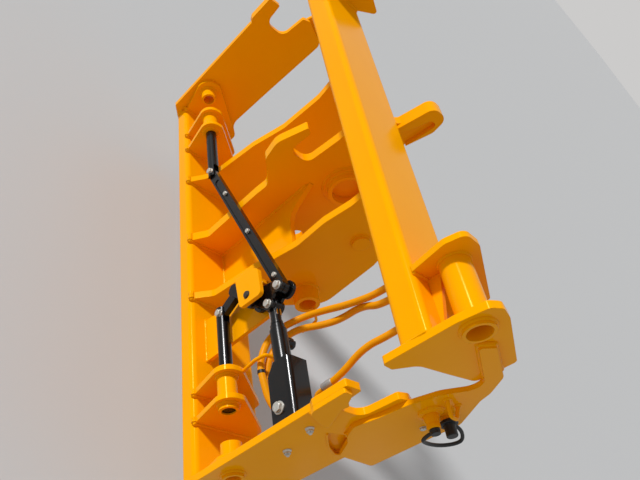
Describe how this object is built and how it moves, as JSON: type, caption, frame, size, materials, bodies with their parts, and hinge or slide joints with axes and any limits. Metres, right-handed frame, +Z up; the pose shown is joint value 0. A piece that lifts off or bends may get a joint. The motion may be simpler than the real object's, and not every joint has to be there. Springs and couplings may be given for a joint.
{
  "type": "quick-attach tool carriage",
  "caption": "Welded tool carriage for a lifting boom: side hooks, head tubes, centre plates and a cylinder-driven bell crank that drives lock pins out at both sides.",
  "frame": {"origin": "on the axis of the boom pivot bore, midway between the two side plates", "axes": "+X to the machine's left along the bores, +Y to the rear towards the boom, +Z up"},
  "size_m": [1.085, 0.279, 0.7094],
  "materials": {
    "yellow_paint": "gloss",
    "black_gloss": "gloss",
    "chromed_rod": "polished",
    "plated_steel": "satin",
    "rubber": "matt",
    "yellow_hose": "satin"
  },
  "bodies": {
    "carriage": {"beam_gusset_left": "yellow_paint", "beam_gusset_right": "yellow_paint", "cheek_left": "yellow_paint", "cheek_right": "yellow_paint", "coupling_cap": "rubber", "coupling_plug": "rubber", "crank_bracket": "yellow_paint", "cross_web": "yellow_paint", "cylinder_cover": "black_gloss", "feed_hose": "yellow_hose", "head_plate_left": "yellow_paint", "head_plate_right": "yellow_paint", "head_tube_left": "yellow_paint", "head_tube_right": "yellow_paint", "hook_plate_left": "yellow_paint", "hook_plate_right": "yellow_paint", "horn_plate": "yellow_paint", "hose_a": "yellow_hose", "hose_b": "yellow_hose", "hose_manifold": "yellow_paint", "inner_head_plate_left": "yellow_paint", "inner_head_plate_right": "yellow_paint", "lower_cross_member": "yellow_paint", "pin_boss_left": "yellow_paint", "pin_boss_right": "yellow_paint", "pin_guide_left": "yellow_paint", "pin_guide_right": "yellow_paint", "port_block": "yellow_paint", "side_plate_left": "yellow_paint", "side_plate_right": "yellow_paint", "throat_plate_left": "yellow_paint", "throat_plate_right": "yellow_paint", "top_beam": "yellow_paint"},
    "lock_pin_left": {"lock_pin_left": "black_gloss"},
    "lock_pin_right": {"lock_pin_right": "black_gloss"},
    "bell_crank": {"bell_crank": "black_gloss"},
    "drag_link": {"drag_link": "black_gloss"},
    "toggle_link": {"toggle_link": "black_gloss"},
    "cylinder_barrel": {"cylinder_barrel": "black_gloss"},
    "cylinder_rod": {"cylinder_rod": "chromed_rod"}
  },
  "joints": [
    {"name": "crank_turn", "type": "hinge", "parent": "carriage", "child": "bell_crank", "pos_m": [0.233, -0.168, 0.031], "axis": [0, -1, 0], "range_deg": [0, 62]},
    {"name": "drag_link_turn", "type": "hinge", "parent": "bell_crank", "child": "drag_link", "pos_m": [0.249, -0.168, 0.096], "axis": [0, -1, 0], "range_deg": [-66, 1]},
    {"name": "toggle_link_turn", "type": "hinge", "parent": "bell_crank", "child": "toggle_link", "pos_m": [0.1853, -0.168, -0.0202], "axis": [0, -1, 0], "range_deg": [-38, 1]},
    {"name": "left_pin_slide", "type": "slide", "parent": "carriage", "child": "lock_pin_left", "axis": [1, 0, 0], "range_m": [0, 0.0905]},
    {"name": "right_pin_slide", "type": "slide", "parent": "carriage", "child": "lock_pin_right", "axis": [-1, 0, 0], "range_m": [0, 0.0735]},
    {"name": "barrel_swing", "type": "hinge", "parent": "carriage", "child": "cylinder_barrel", "pos_m": [0.475, -0.168, 0.076], "axis": [0, -1, 0], "range_deg": [-4.2, 0.5]},
    {"name": "rod_slide", "type": "slide", "parent": "cylinder_barrel", "child": "cylinder_rod", "axis": [-0.9992, 0, -0.0394], "range_m": [0, 0.0536]}
  ],
  "couplings": [
    {"joint": "drag_link_turn", "follows": "crank_turn", "ratio": -1.043},
    {"joint": "toggle_link_turn", "follows": "crank_turn", "ratio": -0.58147},
    {"joint": "left_pin_slide", "follows": "crank_turn", "m_per_rad": 0.083186},
    {"joint": "right_pin_slide", "follows": "crank_turn", "m_per_rad": 0.06758},
    {"joint": "barrel_swing", "follows": "crank_turn", "ratio": -0.060926},
    {"joint": "rod_slide", "follows": "crank_turn", "m_per_rad": 0.049249}
  ]
}
